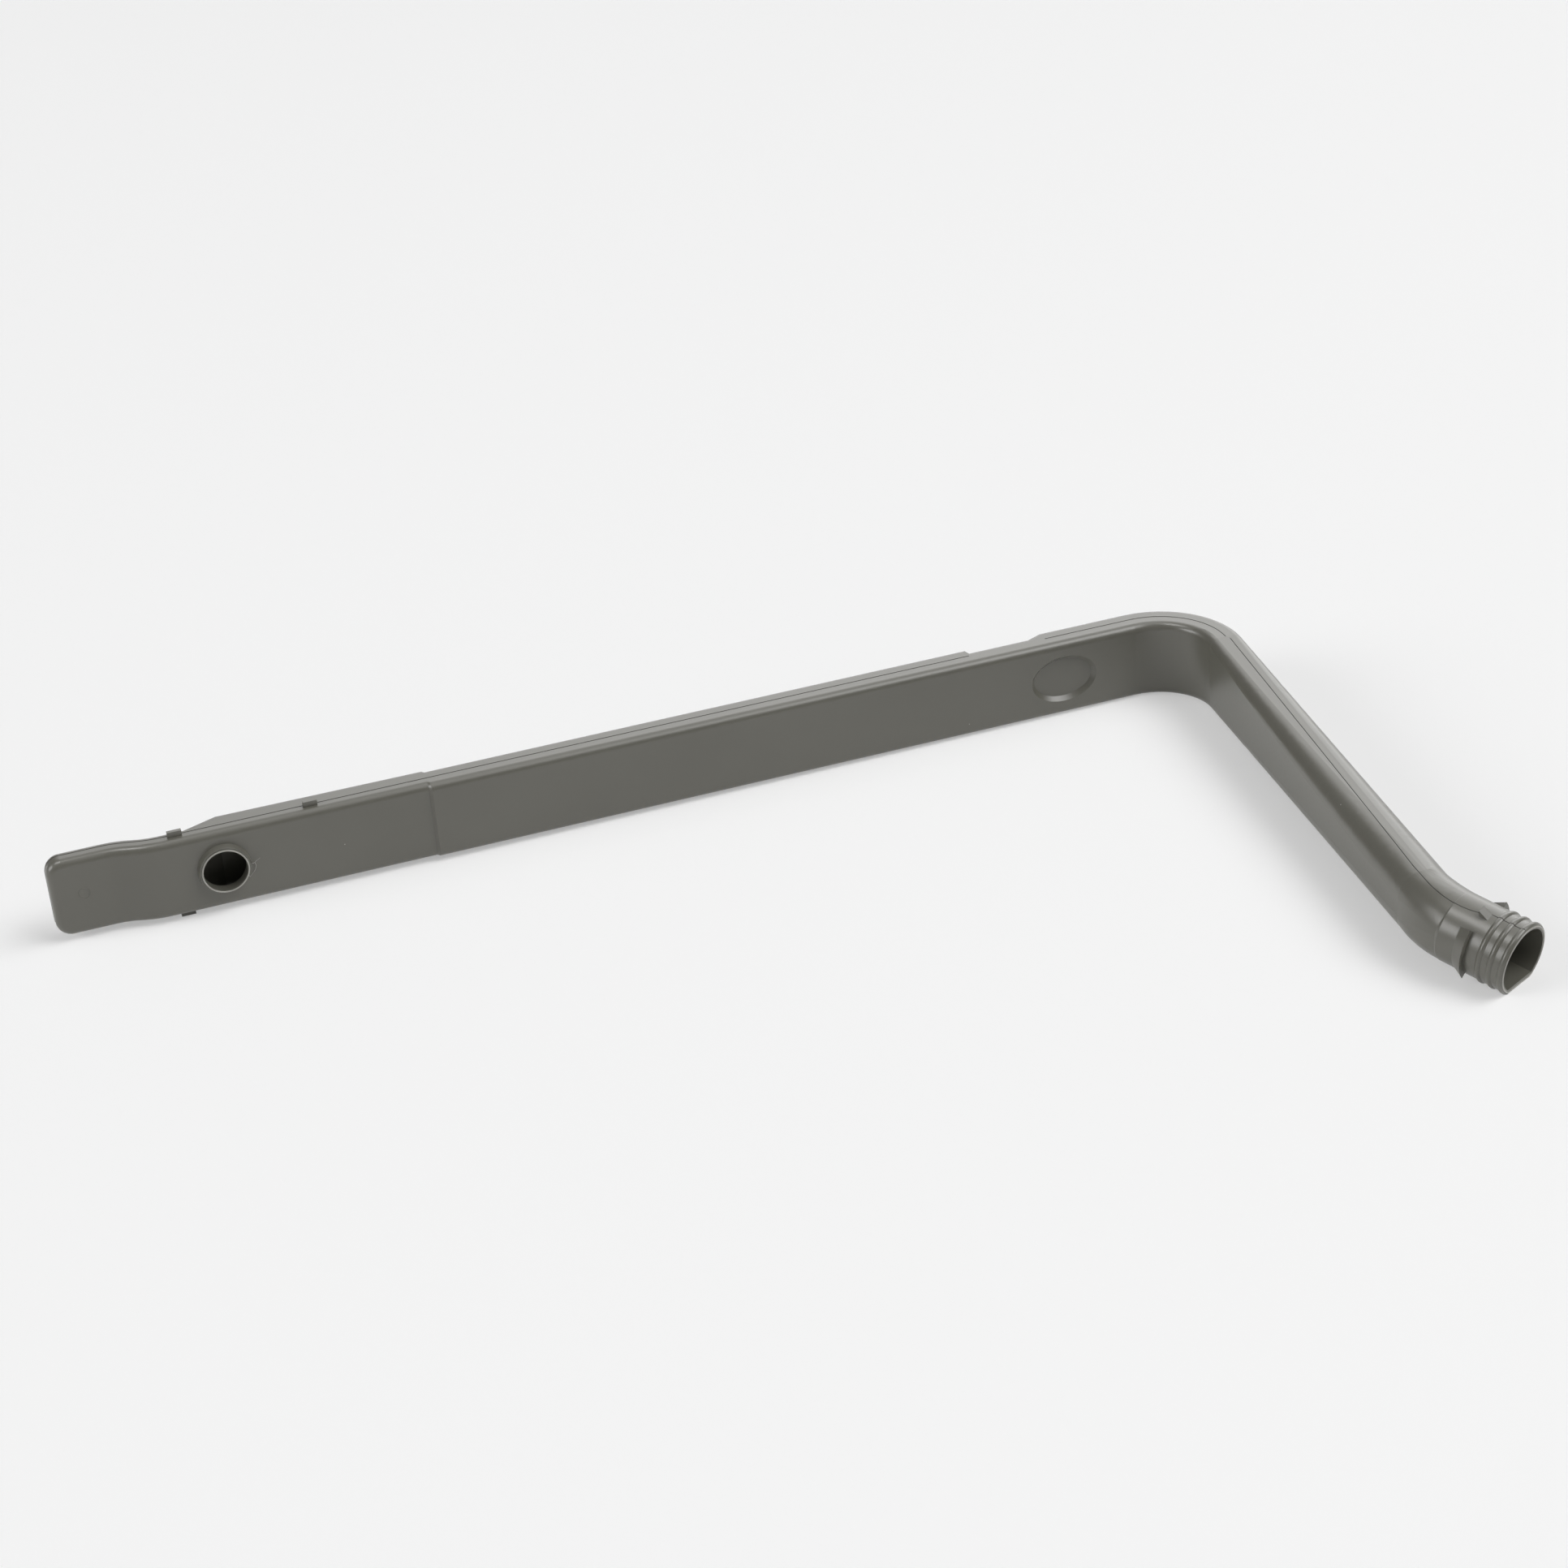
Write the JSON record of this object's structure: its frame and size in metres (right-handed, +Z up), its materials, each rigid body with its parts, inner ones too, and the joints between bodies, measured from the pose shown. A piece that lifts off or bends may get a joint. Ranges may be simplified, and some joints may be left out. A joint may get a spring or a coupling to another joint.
{
  "type": "vent tube",
  "caption": "L-shaped blow-moulded tube: a flat closed leg with a round port on its face turns a corner into a leg that grows into a ridged round spigot.",
  "frame": {"origin": "middle of the underside of the overall box, with the tube lying on its narrow side", "axes": "+X along the long leg from the closed tip to the corner, -Y the side of the port and of the short leg, +Z up, across the flat duct's broad width"},
  "size_m": [0.5662, 0.32, 0.0432],
  "materials": {
    "tube_plastic": "satin warm grey"
  },
  "bodies": {
    "root": {"vent_tube": "tube_plastic"}
  },
  "joints": []
}
